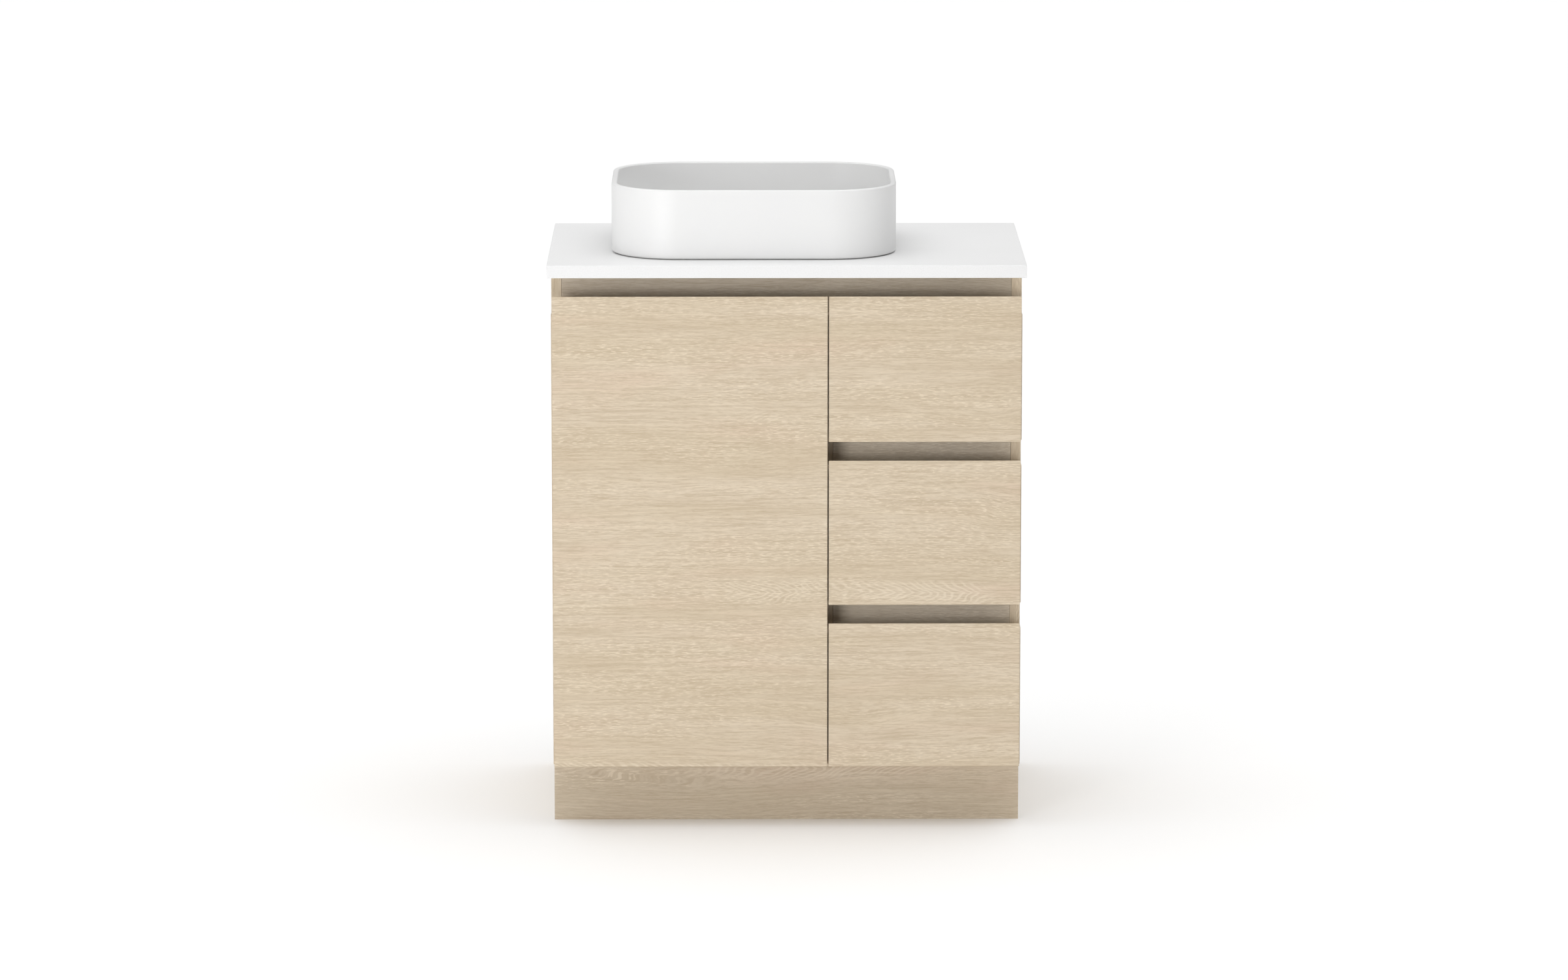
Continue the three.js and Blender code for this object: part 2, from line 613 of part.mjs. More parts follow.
function hingeCup(name, z) {
  const plateFront = frontRearY + GAP;
  const plateRear = plateFront + RUNNER_SHEET;
  const [halfWidth, halfHeight] = [CUP_PLATE_WIDTH / 2, CUP_PLATE_HEIGHT / 2];
  const cup = barY(CUP_RADIUS, cupX, z, frontRearY - CUP_DEPTH, plateRear);
  const plate = block([cupX - halfWidth, cupX + halfWidth], [plateFront, plateRear],
    [z - halfHeight, z + halfHeight]);
  const hollow = barY(CUP_RADIUS - CUP_WALL, cupX, z,
    frontRearY - CUP_DEPTH + CUP_WALL, plateRear + 1);
  const pinHalf = Math.sqrt((CUP_RADIUS - CUP_WALL / 2) ** 2 - HINGE_PIN_OFFSET ** 2);
  const pin = barZ(HINGE_PIN_RADIUS, cupX + HINGE_PIN_OFFSET, frontRearY - CUP_DEPTH / 2,
    z - pinHalf, z + pinHalf, 12);
  place(`hinge_cup_${name}`, joined(cut(joined(cup, plate), hollow), pin), nickelSteel());
}

function hingeArm(name, z) {
  const panel = -innerHalf + GAP;
  const tipY = carcassFrontY + 1;
  const rearY = carcassFrontY + HINGE_ARM_LENGTH;
  const neckY = carcassFrontY + 24;
  const crown = panel + HINGE_ARM_RISE;
  const plateY = carcassFrontY + HINGE_PLATE_SETBACK;
  const plate = block([panel, panel + HINGE_PLATE_THICKNESS], [plateY, plateY + HINGE_PLATE_LENGTH],
    [z - HINGE_PLATE_HEIGHT / 2, z + HINGE_PLATE_HEIGHT / 2]);
  const arm = new THREE.ExtrudeGeometry(outline([
    [panel + 1, rearY], [crown - 3, rearY], [crown, neckY], [crown, tipY], [panel + 6, tipY],
    [panel + 5, neckY - 6], [panel + 1, neckY],
  ]), flat(HINGE_ARM_HEIGHT));
  arm.translate(0, 0, z - HINGE_ARM_HEIGHT / 2);
  const screw = new THREE.CylinderGeometry(HINGE_SCREW_RADIUS, HINGE_SCREW_RADIUS, 2, 16);
  screw.rotateZ(Math.PI / 2).translate(crown - 2, carcassFrontY + HINGE_SCREW_SETBACK, z);
  place(`hinge_arm_${name}`, joined(plate, arm, screw), nickelSteel());
}

// ---------- drawers and their runners ----------

// A runner is a channel seen from its end. side is +1 when it opens towards +X.
function channelOutline(webX, side, reach, height, z) {
  const half = height / 2;
  const inner = half - RUNNER_SHEET;
  const web = webX + side * RUNNER_SHEET;
  const lip = webX + side * reach;
  return outline([
    [webX, z - half], [lip, z - half], [lip, z - inner], [web, z - inner],
    [web, z + inner], [lip, z + inner], [lip, z + half], [webX, z + half],
  ]);
}

function runner(name, hand, boardX, z) {
  const side = hand === 'left' ? 1 : -1;
  const startY = carcassFrontY + RUNNER_INSET;
  const fixedWeb = boardX + side * GAP;
  const fixed = channelOutline(fixedWeb, side, RUNNER_LIP, RUNNER_HEIGHT, z);
  place(`${name}_drawer_runner_${hand}`, alongY(fixed, startY, startY + runnerLength),
    zincSteel());
  const slidingWeb = boardX + side * RUNNER_THICKNESS;
  const sliding = channelOutline(slidingWeb, -side, RUNNER_LIP - 2, RUNNER_SLIDER_HEIGHT, z);
  place(`${name}_drawer_slider_${hand}`, alongY(sliding, startY, startY + runnerLength - 4),
    zincSteel());
}

function drawer(name, index) {
  const frontBottom = bottomZ + index * drawerPitch;
  const frontTop = frontBottom + drawerFrontHeight;
  const frontLeft = DIVIDER_X + FRONT_GAP / 2;
  const frontRight = carcassHalf - FRONT_REVEAL;
  place(`${name}_drawer_front`, alongX(frontOutline(frontBottom, frontTop), frontLeft,
    frontRight), frontBoard());

  const boxLeft = dividerRight + RUNNER_THICKNESS + GAP;
  const boxRight = innerHalf - RUNNER_THICKNESS - GAP;
  const boxFront = frontRearY + GAP;
  const boxRear = boxFront + runnerLength;
  const boxZ = [frontBottom + BOX_LIFT, frontBottom + BOX_LIFT + boxHeight];
  const bottom = boxZ[0] + BOX_BOTTOM_LIFT;
  const inside = [boxLeft + BOX_BOARD + GAP, boxRight - BOX_BOARD - GAP];
  board(`${name}_drawer_side_left`, drawerBoard(), [boxLeft, boxLeft + BOX_BOARD],
    [boxFront, boxRear], boxZ);
  board(`${name}_drawer_side_right`, drawerBoard(), [boxRight - BOX_BOARD, boxRight],
    [boxFront, boxRear], boxZ);
  board(`${name}_drawer_bottom`, drawerBoard(), inside, [boxFront, boxRear],
    [bottom, bottom + BOX_BOTTOM]);
  board(`${name}_drawer_back`, drawerBoard(), inside, [boxRear - BOX_BOARD, boxRear],
    [bottom + BOX_BOTTOM + GAP, boxZ[1]]);

  runner(name, 'left', dividerRight, boxZ[0] + RUNNER_LIFT);
  runner(name, 'right', innerHalf, boxZ[0] + RUNNER_LIFT);
}

// ---------- the whole ----------

benchtop();
basin();
basinSeal();
waste();
trap();
trapOutlet();
carcass();
plinth();
door();
Object.entries(hinges).forEach(([name, z]) => {
  hingeCup(name, z);
  hingeArm(name, z);
});
DRAWER_NAMES.forEach(drawer);

export default vanity;
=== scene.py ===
"""Looks of the vessel sink on its vanity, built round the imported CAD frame.

The scene is in metres, +Z up, with the front at -Y. The sizes and points of the pieces made here are in
millimetres.
"""

import math

import bmesh
import bpy
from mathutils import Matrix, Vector


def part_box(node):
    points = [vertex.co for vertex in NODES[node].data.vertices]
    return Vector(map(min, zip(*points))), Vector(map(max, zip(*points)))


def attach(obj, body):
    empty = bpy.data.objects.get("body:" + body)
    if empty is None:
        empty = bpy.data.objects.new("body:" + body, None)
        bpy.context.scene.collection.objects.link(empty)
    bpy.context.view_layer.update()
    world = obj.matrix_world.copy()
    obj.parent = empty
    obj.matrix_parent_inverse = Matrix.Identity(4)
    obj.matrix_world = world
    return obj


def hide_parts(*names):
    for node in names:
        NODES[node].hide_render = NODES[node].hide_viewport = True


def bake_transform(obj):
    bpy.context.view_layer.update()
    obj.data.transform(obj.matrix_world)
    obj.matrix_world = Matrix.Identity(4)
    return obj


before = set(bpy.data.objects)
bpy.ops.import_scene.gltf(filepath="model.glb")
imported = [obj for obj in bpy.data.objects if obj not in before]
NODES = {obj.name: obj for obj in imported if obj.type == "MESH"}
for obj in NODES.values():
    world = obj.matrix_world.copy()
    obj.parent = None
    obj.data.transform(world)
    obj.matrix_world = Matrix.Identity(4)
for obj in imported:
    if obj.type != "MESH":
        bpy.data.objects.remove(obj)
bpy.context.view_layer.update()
DRAWERS = ("lower", "middle", "upper")
LEVELS = ("lower", "upper")
MM = 0.001


# ---------- camera and studio ----------

CAMERA_PLACE = (-0.0713, -10.4166, 2.3251)
CAMERA_YAW = math.radians(0.3772)
CAMERA_PITCH = math.radians(9.9326)
CAMERA_LENS = 151.08
CAMERA_SENSOR = 36
CAMERA_REACH = 200

# For each step of the sky: the heights where it starts and ends, with 1 overhead, and its strength.
SKY_STEPS = ((0.5, 0.95, 1.25), (0.1, 0.6, 0.56))

FILL_PLACE = (-3.5, -6.5, 0.7)
FILL_AIM = (0, 0, 0.6)
FILL_SIZE = 2.5
FILL_POWER = 218
FLOOR_SIZE = 90


def make_camera():
    """The photograph's viewpoint: far off, a little above the bench and looking down."""
    data = bpy.data.cameras.new("camera")
    data.lens = CAMERA_LENS
    data.sensor_width = CAMERA_SENSOR
    data.clip_end = CAMERA_REACH
    camera = bpy.data.objects.new("camera", data)
    bpy.context.collection.objects.link(camera)
    ahead = Vector((math.sin(CAMERA_YAW) * math.cos(CAMERA_PITCH),
                    math.cos(CAMERA_YAW) * math.cos(CAMERA_PITCH), -math.sin(CAMERA_PITCH)))
    camera.location = CAMERA_PLACE
    camera.rotation_euler = ahead.to_track_quat("-Z", "Y").to_euler()
    bpy.context.scene.camera = camera


def make_fill():
    """A square softbox, low at the front left."""
    data = bpy.data.lights.new("fill", "AREA")
    data.size = FILL_SIZE
    data.energy = FILL_POWER
    light = bpy.data.objects.new("fill", data)
    bpy.context.collection.objects.link(light)
    light.location = FILL_PLACE
    light.rotation_euler = (Vector(FILL_AIM) - Vector(FILL_PLACE)).to_track_quat("-Z", "Y").to_euler()


def make_sky():
    """A white dome that is bright overhead and fades towards the horizon, in two soft steps."""
    world = bpy.data.worlds.new("studio")
    world.use_nodes = True
    tree = world.node_tree
    height = tree.nodes.new("ShaderNodeSeparateXYZ")
    tree.links.new(tree.nodes.new("ShaderNodeTexCoord").outputs["Generated"], height.inputs[0])
    total = tree.nodes.new("ShaderNodeMath")
    for socket, (start, end, strength) in zip(total.inputs, SKY_STEPS):
        step = tree.nodes.new("ShaderNodeMapRange")
        step.interpolation_type = "SMOOTHSTEP"
        tree.links.new(height.outputs["Z"], step.inputs["Value"])
        step.inputs["From Min"].default_value = start
        step.inputs["From Max"].default_value = end
        step.inputs["To Max"].default_value = strength
        tree.links.new(step.outputs[0], socket)
    background = tree.nodes["Background"]
    tree.links.new(total.outputs[0], background.inputs["Strength"])
    background.inputs["Color"].default_value = (1, 1, 1, 1)
    bpy.context.scene.world = world


def make_floor():
    """A wide pale floor at height zero."""
    half = FLOOR_SIZE / 2
    points = [(-half, -half, 0), (half, -half, 0), (half, half, 0), (-half, half, 0)]
    mesh = bpy.data.meshes.new("floor")
    mesh.from_pydata(points, [], [(0, 1, 2, 3)])
    floor = bpy.data.objects.new("floor", mesh)
    bpy.context.collection.objects.link(floor)
    floor.data.materials.append(floor_paint())


def make_studio():
    bpy.context.scene.view_settings.view_transform = "Standard"
    make_sky()
    make_fill()
    make_floor()


# ---------- materials ----------

class Material:
    """A node material. Most calls add one node, set or link its inputs and return its first output."""

    def __init__(self, name, roughness=0.5, metallic=0.0):
        self.material = bpy.data.materials.new(name)
        self.material.use_nodes = True
        self.tree = self.material.node_tree
        self.shader = self.tree.nodes["Principled BSDF"]
        self.shader.inputs["Roughness"].default_value = roughness
        self.shader.inputs["Metallic"].default_value = metallic
        self.place = self.node("ShaderNodeTexCoord").node.outputs["Object"]

    def put(self, socket, value):
        """Links value to socket if it is an output, or else sets it there."""
        if isinstance(value, bpy.types.NodeSocket):
            self.tree.links.new(value, socket)
        else:
            socket.default_value = value

    def node(self, kind, *values, settings=None, **named):
        node = self.tree.nodes.new(kind)
        for key, value in (settings or {}).items():
            setattr(node, key, value)
        for socket, value in zip(node.inputs, values):
            self.put(socket, value)
        for key, value in named.items():
            self.put(node.inputs[key], value)
        return node.outputs[0]

    def math(self, operation, *values):
        return self.node("ShaderNodeMath", *values, settings={"operation": operation})

    def noise(self, place, scale, detail=2.0, roughness=0.5):
        """Noise from 0 to 1 with its own number of features a metre along each axis."""
        stretched = self.node("ShaderNodeVectorMath", place, scale, settings={"operation": "MULTIPLY"})
        return self.node("ShaderNodeTexNoise", Vector=stretched, Scale=1.0, Detail=detail,
                         Roughness=roughness)

    def even_noise(self, scale, detail=2.0):
        """Noise with the same number of features a metre along every axis."""
        return self.noise(self.place, (scale, scale, scale), detail)

    def step(self, value, start, end, low=0.0, high=1.0):
        """A smooth step of value, from low at start to high at end."""
        return self.node("ShaderNodeMapRange", value, start, end, low, high,
                         settings={"interpolation_type": "SMOOTHSTEP"})

    def mix(self, share, first, second):
        """The colour between first and second."""
        node = self.tree.nodes.new("ShaderNodeMix")
        node.data_type = "RGBA"
        for index, value in ((0, share), (6, first), (7, second)):
            self.put(node.inputs[index], value)
        return node.outputs[2]

    def colour(self, value):
        self.put(self.shader.inputs["Base Color"], value)

    def roughness(self, value):
        self.put(self.shader.inputs["Roughness"], value)

    def bump(self, height, strength, distance):
        self.put(self.shader.inputs["Normal"],
                 self.node("ShaderNodeBump", Height=height, Strength=strength, Distance=distance))


def tint(red, green, blue):
    """A linear colour from 8-bit sRGB."""
    def linear(level):
        share = level / 255
        return share / 12.92 if share <= 0.04045 else ((share + 0.055) / 1.055) ** 2.4
    return (linear(red), linear(green), linear(blue), 1)


def floor_paint():
    paint = Material("floor_paint", roughness=0.9)
    paint.colour(paint.mix(paint.even_noise(3), tint(251, 251, 251), tint(252, 252, 252)))
    return paint.material


# The noises of the oak: features a metre along the grain and across it, octaves, and roughness.
OAK_NOISES = {
    "zone": (2.2, 9, 1.0),
    "sway": (3.0, 11, 1.5),
    "ripple": (16, 60, 1.0),
    "site": (4.2, 7, 1.0),
    "flame": (12, 40, 2.0),
    "fibre": (36, 560, 3.0, 0.55),
    "streak": (8, 280, 3.0),
    "pore": (92, 700, 1.0),
    "crowd": (2.4, 30, 2.0),
    "tone": (1.5, 19, 2.0),
    "blush": (3.2, 14, 2.0),
}
OAK_TONES = ((214, 197, 170), (221, 205, 181))

# Layers over the base tone: noise, the values where its step starts and ends, its shares there, colour.
OAK_LAYERS = (
    ("blush", 0.52, 0.74, 0, 0.5, (222, 196, 172)),
    ("fibre", 0.36, 0.6, 0.6, 0, (200, 180, 152)),
    ("streak", 0.52, 0.68, 0, 0.5, (196, 176, 148)),
    ("streak", 0.32, 0.46, 0.35, 0, (233, 217, 192)),
    ("pore", 0.3, 0.42, 0.35, 0, (192, 171, 143)),
)
OAK_FIGURE = (236, 222, 200)
OAK_FLECK = (238, 223, 199)

# How far the grain wanders across the board: everywhere, in its livelier zones besides, and finely.
SWAY = 0.007
ZONE_SWAY = 0.018
RIPPLE = 0.0012

# The cathedral figures stand in lanes, as chevrons with a pitch along the grain.
FIGURE_START = 0.383
FIGURE_SPACING = 0.29
FIGURE_HEIGHT = 0.036
FIGURE_PITCH = 0.015
FIGURE_SLOPE = 2.1
FIGURE_WANDER = 0.07
FIGURE_STRENGTH = 0.5


def oak(name, along="X", tone_and_painted_shade=0.907, painted_shade_grey=0.0):
    """Pale oak melamine: fine straight grain along one axis, cream pores, and a few cathedral figures."""
    wood = Material(name)
    parts = wood.node("ShaderNodeSeparateXYZ", wood.place).node.outputs
    order = {"X": (0, 2, 1), "Y": (1, 2, 0), "Z": (2, 0, 1)}[along]
    run, across, depth = (parts[i] for i in order)
    place = wood.node("ShaderNodeCombineXYZ", run, across, depth)

    def noise(kind, at):
        long, wide, *more = OAK_NOISES[kind]
        return wood.noise(at, (long, wide, wide), *more)

    # Scales the oak's tone and pulls it towards grey. The darker, greyer copies are painted shade for the
    # recessed plinth and finger channels.
    def shaded(levels):
        colour = tint(*levels)[:3]
        mean = sum(colour) / 3
        return tuple(tone_and_painted_shade * (level + painted_shade_grey * (mean - level)) for level in colour) + (1,)

    zone = wood.step(noise("zone", place), 0.58, 0.7)
    sway = wood.math("MULTIPLY_ADD", zone, ZONE_SWAY, SWAY)
    wave = wood.math("MULTIPLY_ADD", noise("sway", place), sway, across)
    ripple = wood.math("MULTIPLY_ADD", noise("ripple", place), RIPPLE, wave)
    grain = wood.node("ShaderNodeCombineXYZ", run, ripple, depth)
    noises = {kind: noise(kind, grain) for kind in ("fibre", "streak", "pore", "crowd", "tone")}
    noises["blush"] = noise("blush", place)

    lane = wood.math("PINGPONG", wood.math("SUBTRACT", wave, FIGURE_START), FIGURE_SPACING / 2)
    near = wood.step(lane, 0.3 * FIGURE_HEIGHT, 0.6 * FIGURE_HEIGHT, 1, 0)
    site = wood.step(noise("site", place), 0.47, 0.62)
    slope = wood.math("MULTIPLY_ADD", lane, FIGURE_SLOPE, run)
    flame = wood.math("MULTIPLY_ADD", noise("flame", place), FIGURE_WANDER, slope)
    turns = wood.math("MULTIPLY", flame, math.tau / FIGURE_PITCH)
    rings = wood.step(wood.math("SINE", turns), -0.2, 1.0)
    arcs = wood.math("MULTIPLY", rings, wood.math("MULTIPLY", near, site))

    density = wood.step(noises["crowd"], 0.38, 0.64, 0.1, 0.65)
    flecks = wood.math("MULTIPLY", wood.step(noises["pore"], 0.54, 0.66), density)

    colour = wood.mix(wood.step(noises["tone"], 0.35, 0.65), *map(shaded, OAK_TONES))
    for kind, start, end, low, high, levels in OAK_LAYERS:
        colour = wood.mix(wood.step(noises[kind], start, end, low, high), colour, shaded(levels))
    colour = wood.mix(wood.math("MULTIPLY", arcs, FIGURE_STRENGTH), colour, shaded(OAK_FIGURE))
    wood.colour(wood.mix(flecks, colour, shaded(OAK_FLECK)))
    wood.roughness(wood.step(noises["fibre"], 0.3, 0.7, 0.55, 0.45))
    relief = wood.math("SUBTRACT", noises["fibre"], wood.math("MULTIPLY", flecks, 0.5))
    wood.bump(relief, strength=0.2, distance=0.0002)
    return wood.material


def white_board():
    """White melamine with a fine pearl texture."""
    board = Material("white_board")
    board.colour(board.mix(board.even_noise(5), tint(233, 232, 228), tint(239, 238, 235)))
    board.bump(board.even_noise(900, 3.0), strength=0.15, distance=0.0002)
    return board.material


def bench_stone():
    """Matt white solid surface, very faintly mottled."""
    stone = Material("bench_stone", roughness=0.55)
    cloud = stone.mix(stone.even_noise(9, 3.0), tint(233, 233, 233), tint(237, 237, 237))
    speckle = stone.step(stone.even_noise(420), 0.4, 0.75, 0, 0.5)
    stone.colour(stone.mix(speckle, cloud, tint(228, 228, 227)))
    stone.bump(stone.even_noise(260, 3.0), strength=0.06, distance=0.0003)
    return stone.material


def basin_glaze():
    """Matt white glaze over ceramic, with slow unevenness."""
    glaze = Material("basin_glaze")
    cloud = glaze.even_noise(7, 3.0)
    glaze.colour(glaze.mix(cloud, tint(232, 232, 232), tint(236, 236, 235)))
    glaze.roughness(glaze.step(cloud, 0.3, 0.7, 0.38, 0.48))
    glaze.bump(glaze.even_noise(38), strength=0.05, distance=0.0006)
    return glaze.material


# Lines of rolled metal, in features a metre across and along them, and how much they vary its roughness.
METAL_LINES = 700
METAL_LINES_ALONG = 18
METAL_SPREAD = 0.18


def metal(name, dark, light, roughness, along):
    """Rolled or plated metal: fine lines along one axis, and roughness that varies with them."""
    sheet = Material(name, metallic=1.0)
    scale = [METAL_LINES] * 3
    scale["XYZ".index(along)] = METAL_LINES_ALONG
    lines = sheet.noise(sheet.place, scale, 3.0)
    sheet.colour(sheet.mix(sheet.even_noise(60, 3.0), dark, light))
    sheet.roughness(sheet.math("MULTIPLY_ADD", lines, METAL_SPREAD, roughness - METAL_SPREAD / 2))
    sheet.bump(lines, strength=0.05, distance=0.0001)
    return sheet.material


def plastic(name, low, high, roughness):
    """Moulded plastic with a slight grain."""
    moulded = Material(name, roughness=roughness)
    moulded.colour(moulded.mix(moulded.even_noise(40), low, high))
    moulded.bump(moulded.even_noise(1200), strength=0.08, distance=0.0001)
    return moulded.material


# ---------- making pieces ----------

WELD_REACH = 0.00002


def round_edges(piece, width, corner=40):
    """Rounds the edges that turn by more than corner degrees, by width millimetres."""
    bevel = piece.modifiers.new("edge", "BEVEL")
    bevel.width = width * MM
    bevel.segments = 2
    bevel.limit_method = "ANGLE"
    bevel.angle_limit = math.radians(corner)
    bevel.harden_normals = True


def dress(node, material, edge=0.5):
    """Gives a CAD node its material, and rounds its sharp edges by edge millimetres."""
    piece = NODES[node]
    piece.data.materials.clear()
    piece.data.materials.append(material)
    weld = piece.modifiers.new("weld", "WELD")
    weld.merge_threshold = WELD_REACH
    if edge:
        round_edges(piece, edge)


def loft(mesh, rings, closed=True):
    """Adds a skin through rings of points. A ring of one point closes to a tip."""
    rows = [[mesh.verts.new(Vector(point) * MM) for point in ring] for ring in rings]
    pairs = list(zip(rows, rows[1:]))
    if closed:
        pairs.append((rows[-1], rows[0]))
    for first, second in pairs:
        count = max(len(first), len(second))
        for i in range(count):
            j = (i + 1) % count
            corners = (first[i % len(first)], first[j % len(first)],
                       second[j % len(second)], second[i % len(second)])
            mesh.faces.new(list(dict.fromkeys(corners)))


def turn(mesh, profile, centre, axis="Z", steps=96, ribs=0, sink=None):
    """Adds a turned skin. The profile's points are radius, place along the axis and rib depth.

    A profile that starts on the axis gives a solid form, and any other closes to a ring. The function
    sink says how far a point at a radius and step lies under its place.
    """
    rings = []
    for radius, along, *depth in profile:
        ring = []
        for step in range(steps if radius else 1):
            angle = 2 * math.pi * step / steps
            reach = radius - (depth[0] * (0.5 - 0.5 * math.cos(ribs * angle)) if depth else 0)
            drop = sink(radius, step) if sink else 0
            u, v, w = reach * math.cos(angle), reach * math.sin(angle), along - drop
            offset = {"X": (w, u, v), "Y": (v, w, u), "Z": (u, v, w)}[axis]
            ring.append([start + change for start, change in zip(centre, offset)])
        rings.append(ring)
    loft(mesh, rings, closed=profile[0][0] > 0)


def arc(hub_radius, hub_along, wide, high, start, end, step):
    """Points of a profile round an elliptic arc, from start up to end degrees."""
    return [(hub_radius + wide * math.cos(math.radians(a)), hub_along + high * math.sin(math.radians(a)))
            for a in range(start, end, step)]


def piece(name, mesh, material, slot, body=None, stands_for=(), edge=0.4, crease=40):
    """Turns a bmesh into a piece with smooth faces, that rides on body and stands for CAD nodes."""
    bmesh.ops.recalc_face_normals(mesh, faces=mesh.faces)
    for face in mesh.faces:
        face.smooth = True
    data = bpy.data.meshes.new(name)
    mesh.to_mesh(data)
    mesh.free()
    data.set_sharp_from_angle(angle=math.radians(crease))
    data.materials.append(material)
    thing = bpy.data.objects.new(name, data)
    bpy.context.collection.objects.link(thing)
    if edge:
        round_edges(thing, edge, crease)
    if body:
        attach(thing, body)
    if stands_for:
        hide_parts(*stands_for)
    return thing


def corners(node):
    """The lowest and highest corner of a CAD node, in millimetres."""
    return [Vector(corner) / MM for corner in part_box(node)]


def middle(node):
    low, high = corners(node)
    return (low + high) / 2


# ---------- scene and materials in use ----------

make_camera()
make_studio()

OAK_ACROSS = oak("oak_across")
OAK_UP = oak("oak_up", "Z")
OAK_DEEP = oak("oak_deep", "Y")
# Darker, greyer copies of the same oak, as painted shade: the recessed plinth, the finger channels, and
# darkest the channel under the bench.
PLINTH_OAK_PAINTED_SHADE = oak("oak_plinth_painted_shade", tone_and_painted_shade=0.84, painted_shade_grey=0.08)
CHANNEL_OAK_PAINTED_SHADE = oak("oak_channel_painted_shade", tone_and_painted_shade=0.9, painted_shade_grey=0.22)
TOP_CHANNEL_OAK_PAINTED_SHADE = oak("oak_top_channel_painted_shade", tone_and_painted_shade=0.74, painted_shade_grey=0.16)
WHITE = white_board()
GLAZE = basin_glaze()
ZINC = metal("zinc_steel", tint(176, 179, 182), tint(196, 198, 200), 0.36, "Y")
NICKEL = metal("nickel_steel", tint(186, 182, 174), tint(204, 200, 192), 0.28, "Z")
CHROME = metal("chrome", tint(214, 215, 217), tint(226, 227, 228), 0.13, "Z")
TRAP_PLASTIC = plastic("trap_plastic", tint(233, 233, 230), tint(240, 240, 238), 0.32)
RUBBER = plastic("black_rubber", tint(28, 28, 28), tint(38, 38, 38), 0.8)
SEALANT = plastic("sealant", tint(214, 214, 211), tint(222, 222, 220), 0.45)
BUMPER = plastic("bumper", tint(222, 222, 216), tint(234, 234, 230), 0.3)


# ---------- carried-over CAD nodes ----------

def dress_nodes():
    dress("benchtop", bench_stone(), edge=0)
    dress("basin_seal", SEALANT, edge=0.3)
    for name in ("side_panel_left", "side_panel_right", "divider"):
        dress(name, OAK_UP)
    for name in ("door", "shelf", "base_panel", "rear_top_rail", "rear_bottom_rail"):
        dress(name, OAK_ACROSS)
    # The plinth's oak is darkened and greyed as painted shade.
    for name in ("plinth_front", "plinth_rear"):
        dress(name, PLINTH_OAK_PAINTED_SHADE)
    # The channel rails' oak is darkened and greyed as painted shade.
    for name in ("channel_rail_above_lower_drawer", "channel_rail_above_middle_drawer"):
        dress(name, CHANNEL_OAK_PAINTED_SHADE)
    # The top rail's oak is darker still, as painted shade under the bench.
    dress("front_top_rail", TOP_CHANNEL_OAK_PAINTED_SHADE)
    for name in ("plinth_left", "plinth_right"):
        dress(name, OAK_DEEP)
    dress("back_panel", WHITE, edge=0.2)
    for drawer in DRAWERS:
        dress(f"{drawer}_drawer_front", OAK_ACROSS)
        for part in ("side_left", "side_right", "back", "bottom"):
            dress(f"{drawer}_drawer_{part}", WHITE)
        for hand in ("left", "right"):
            dress(f"{drawer}_drawer_runner_{hand}", ZINC, edge=0.3)
            dress(f"{drawer}_drawer_slider_{hand}", ZINC, edge=0.3)
    for name in ("hinge_cup_lower", "hinge_cup_upper", "hinge_arm_lower", "hinge_arm_upper"):
        dress(name, NICKEL, edge=0.3)
    dress("waste_locknut", CHROME, edge=0.4)
    dress("waste_washer", RUBBER, edge=0.3)


# ---------- basin ----------

BASIN_WALL = 9.5
BASIN_CORNER = 108
BASIN_COVE = 26
BASIN_RIM = 2.6
BASIN_FOOT = 3
BASIN_FLOOR = 12
BASIN_FALL = 3
WASTE_HOLE = 22.2
WASTE_RECESS = 33.5
CORNER_STEPS = 24
SIDE_STEPS = 8
FLOOR_STEPS = 12
FOOT_STEPS = 5
RIM_STEPS = 8
COVE_STEPS = 18


def basin_ring(inset, z):
    """The basin's outline drawn in by inset: four round corners, and sides with points of their own."""
    low, high = corners("basin")
    centre = (low + high) / 2
    half = (high - low) / 2
    radius = BASIN_CORNER - inset
    ring = []
    for corner, (right, back) in enumerate(((1, 1), (-1, 1), (-1, -1), (1, -1))):
        hub = (centre.x + right * (half.x - BASIN_CORNER), centre.y + back * (half.y - BASIN_CORNER))
        for step in range(CORNER_STEPS + 1):
            angle = (corner + step / CORNER_STEPS) * math.pi / 2
            ring.append(Vector((hub[0] + radius * math.cos(angle), hub[1] + radius * math.sin(angle), z)))
    filled = []
    for i, point in enumerate(ring):
        filled.append(point)
        if i % (CORNER_STEPS + 1) == CORNER_STEPS:
            after = ring[(i + 1) % len(ring)]
            filled += [point.lerp(after, step / SIDE_STEPS) for step in range(1, SIDE_STEPS)]
    return filled


def round_ring(radius, z):
    """A circle round the waste, with its points at the bearings of the basin's outline."""
    centre = middle("basin")
    ring = []
    for point in basin_ring(0, z):
        bearing = math.atan2(point.y - centre.y, point.x - centre.x)
        ring.append(Vector((centre.x + radius * math.cos(bearing),
                            centre.y + radius * math.sin(bearing), z)))
    return ring


def basin_arc(inset, z, radius, start, end, steps):
    """Basin rings round an arc of a section, from start to end degrees."""
    angles = [math.radians(start + (end - start) * step / steps) for step in range(steps + 1)]
    return [basin_ring(inset + radius * math.cos(angle), z + radius * math.sin(angle))
            for angle in angles]


